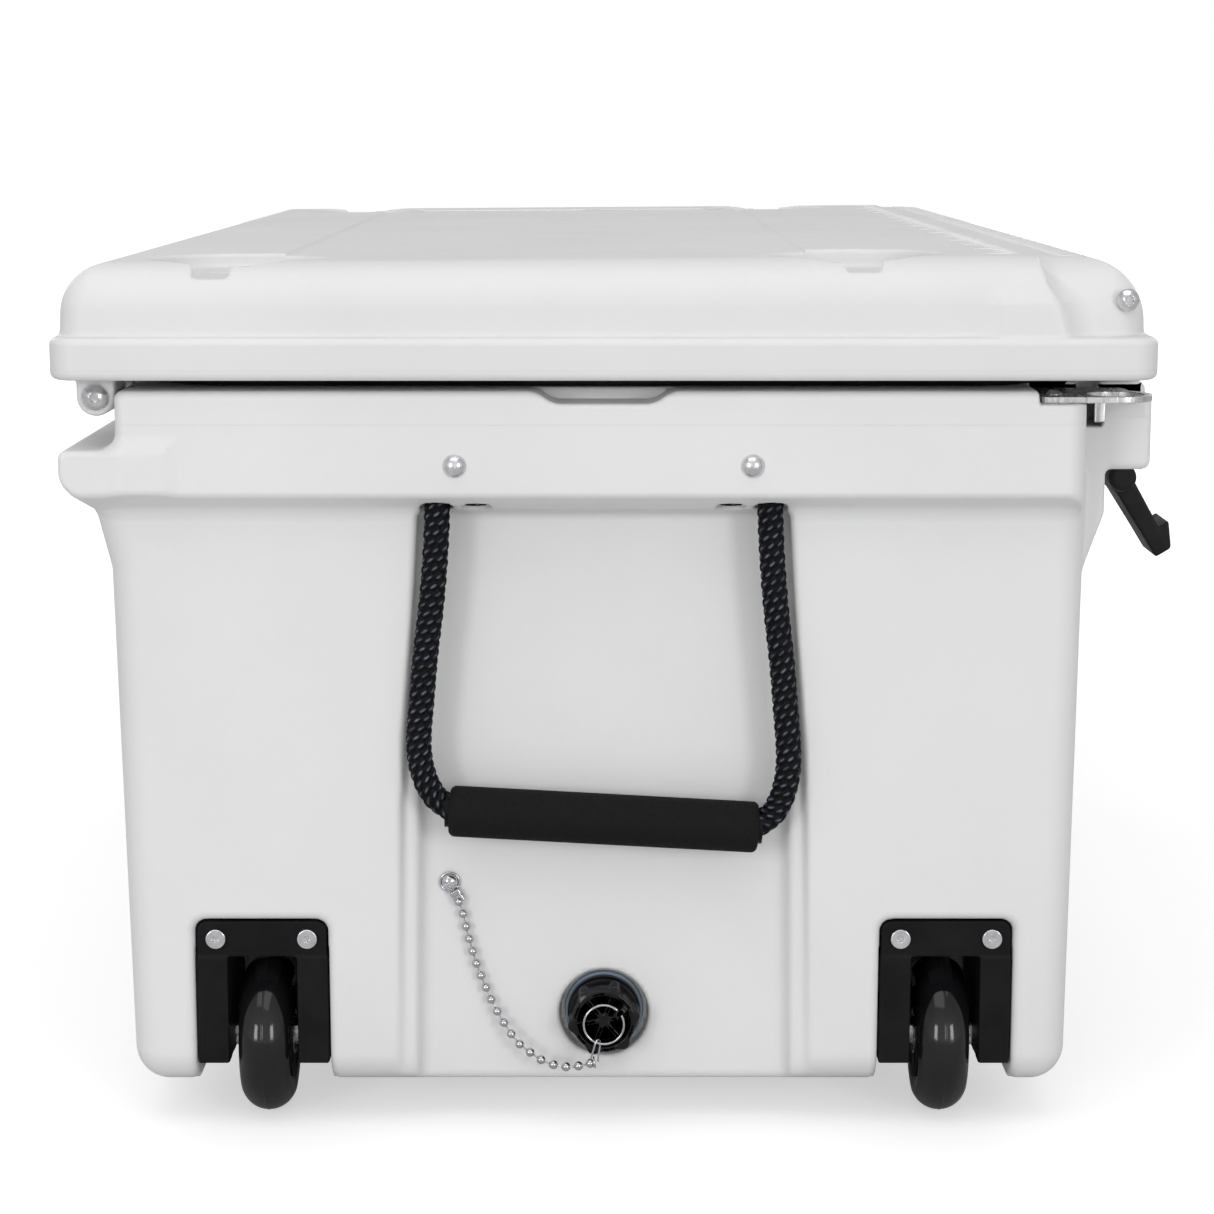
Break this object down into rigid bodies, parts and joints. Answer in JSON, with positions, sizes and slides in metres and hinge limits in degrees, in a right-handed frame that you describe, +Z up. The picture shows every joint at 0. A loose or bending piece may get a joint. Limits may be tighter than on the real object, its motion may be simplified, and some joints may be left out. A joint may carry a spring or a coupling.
{
  "type": "wheeled cooler",
  "caption": "Rectangular insulated cooler with a hinged latched lid, rope handles on both ends, two small wheels under one end and a screw-in drain plug on a bead chain.",
  "frame": {"origin": "on the floor, at the middle of the overall box (the centre plane of the tub is 15 mm towards +Y, because the latch tabs stand out at the front)", "axes": "+Z up, X along the length with the wheels and the drain at -X, -Y the front with the latches, +Y the hinge side"},
  "size_m": [0.85, 0.5339, 0.417],
  "materials": {
    "moulded_plastic": "fine moulded texture, off-white polyethylene",
    "foam_core": "rigid polyurethane foam, sealed inside",
    "black_rubber": "matte black moulded rubber",
    "black_plastic": "satin black glass-filled nylon",
    "gloss_black": "glossy black moulded plastic",
    "grey_seal": "blue-grey soft seal",
    "urethane": "glossy black polyurethane",
    "steel": "bright zinc-plated steel",
    "stainless": "brushed stainless steel",
    "chrome_wire": "nickel-plated, polished",
    "rope": "black solid-braid polyester rope",
    "grip_foam": "matte black closed-cell foam"
  },
  "bodies": {
    "root": {"body_shell": "moulded_plastic", "body_foam": "foam_core", "body_fill_plug": "moulded_plastic", "tub_feet": "black_rubber", "tub_foot_screws": "steel", "drain_fitting": "black_plastic", "drain_seal": "grey_seal", "drain_inner_nut": "black_plastic", "wheel_brackets": "black_plastic", "bracket_screws": "steel", "axle_bolts": "steel", "axle_nuts": "steel", "axle_spacers": "steel", "rope_anchors": "rope", "rope_bolts": "steel", "rope_bolt_nuts": "steel", "lock_plates": "stainless", "lock_plate_screws": "stainless", "hinge_rod": "steel", "hinge_rod_cap": "steel", "chain_screw": "chrome_wire", "chain_eyelet": "chrome_wire", "bead_chain": "chrome_wire"},
    "lid": {"lid_shell": "moulded_plastic", "lid_foam": "foam_core", "lid_fill_plug": "moulded_plastic", "lid_gasket": "black_rubber", "latch_rod": "steel", "latch_rod_cap": "steel"},
    "near_latch": {"near_latch": "black_rubber"},
    "far_latch": {"far_latch": "black_rubber"},
    "front_wheel": {"front_wheel_tyre": "urethane", "front_wheel_hub": "black_plastic", "front_wheel_bearings": "steel", "front_wheel_sleeve": "steel"},
    "back_wheel": {"back_wheel_tyre": "urethane", "back_wheel_hub": "black_plastic", "back_wheel_bearings": "steel", "back_wheel_sleeve": "steel"},
    "near_handle": {"near_rope": "rope", "near_grip": "grip_foam", "near_grip_core": "black_plastic"},
    "far_handle": {"far_rope": "rope", "far_grip": "grip_foam", "far_grip_core": "black_plastic"},
    "plug_seat": {"plug_gasket": "black_rubber", "chain_end_link": "chrome_wire"},
    "drain_plug": {"drain_plug": "gloss_black", "split_ring": "chrome_wire"}
  },
  "joints": [
    {"name": "lid_hinge", "type": "hinge", "parent": "root", "child": "lid", "pos_m": [0, 0.2475, 0.3525], "axis": [-1, 0, 0], "range_deg": [0, 95]},
    {"name": "near_latch_swing", "type": "hinge", "parent": "lid", "child": "near_latch", "pos_m": [-0.27, -0.223, 0.397], "axis": [-1, 0, 0], "range_deg": [0, 110]},
    {"name": "far_latch_swing", "type": "hinge", "parent": "lid", "child": "far_latch", "pos_m": [0.27, -0.223, 0.397], "axis": [-1, 0, 0], "range_deg": [0, 110]},
    {"name": "front_wheel_spin", "type": "hinge", "parent": "root", "child": "front_wheel", "pos_m": [-0.367, -0.148, 0.038], "axis": [0, 1, 0], "continuous": true},
    {"name": "back_wheel_spin", "type": "hinge", "parent": "root", "child": "back_wheel", "pos_m": [-0.367, 0.178, 0.038], "axis": [0, 1, 0], "continuous": true},
    {"name": "near_handle_swing", "type": "hinge", "parent": "root", "child": "near_handle", "pos_m": [-0.404, 0.015, 0.297], "axis": [0, 1, 0], "range_deg": [0, 95]},
    {"name": "far_handle_swing", "type": "hinge", "parent": "root", "child": "far_handle", "pos_m": [0.404, 0.015, 0.297], "axis": [0, -1, 0], "range_deg": [0, 95]},
    {"name": "plug_travel", "type": "slide", "parent": "root", "child": "plug_seat", "axis": [-1, 0, 0], "range_m": [0, 0.012], "deforming": ["bead_chain"]},
    {"name": "plug_turn", "type": "hinge", "parent": "plug_seat", "child": "drain_plug", "pos_m": [-0.4, 0.015, 0.054], "axis": [-1, 0, 0], "range_deg": [0, 1080], "deforming": ["chain_end_link"]}
  ],
  "couplings": [
    {"joint": "plug_travel", "follows": "plug_turn", "m_per_rad": 0.00063662}
  ]
}
